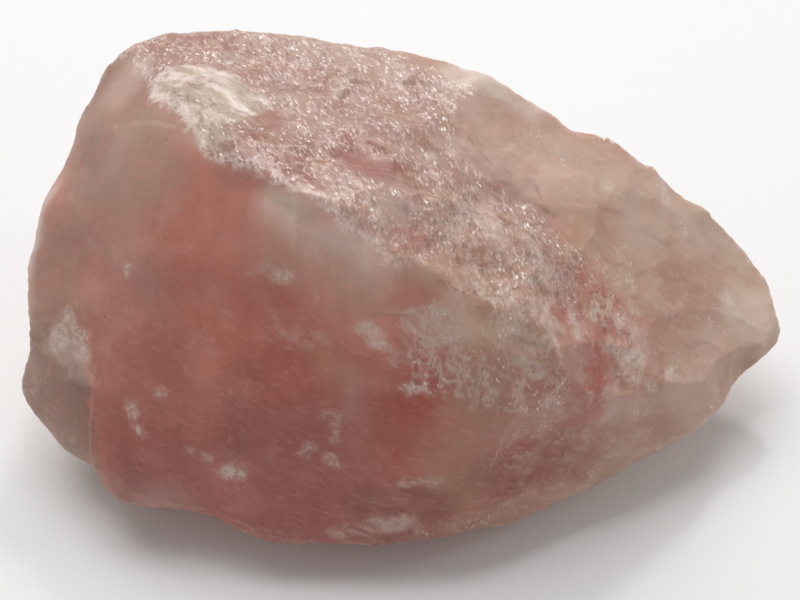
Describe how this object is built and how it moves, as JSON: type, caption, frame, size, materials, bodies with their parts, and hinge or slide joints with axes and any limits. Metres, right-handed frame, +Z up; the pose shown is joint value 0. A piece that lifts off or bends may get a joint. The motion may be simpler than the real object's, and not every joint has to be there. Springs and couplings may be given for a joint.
{
  "type": "rose quartz chunk",
  "caption": "Rough chunk of massive pink quartz, blunt at one end and pointed at the other, with a broad top, a steep broken face and a flat patch to rest on.",
  "frame": {"origin": "centre of the bounding box in X and Y, at the level of the resting face", "axes": "+X along the length, towards the pointed end; the steep face looks towards -Y; +Z up"},
  "size_m": [0.098, 0.0606, 0.047],
  "materials": {
    "rose_quartz": "fresh vitreous break, satin with a sugary glitter on the top"
  },
  "bodies": {
    "root": {"rose_quartz_chunk": "rose_quartz"}
  },
  "joints": []
}
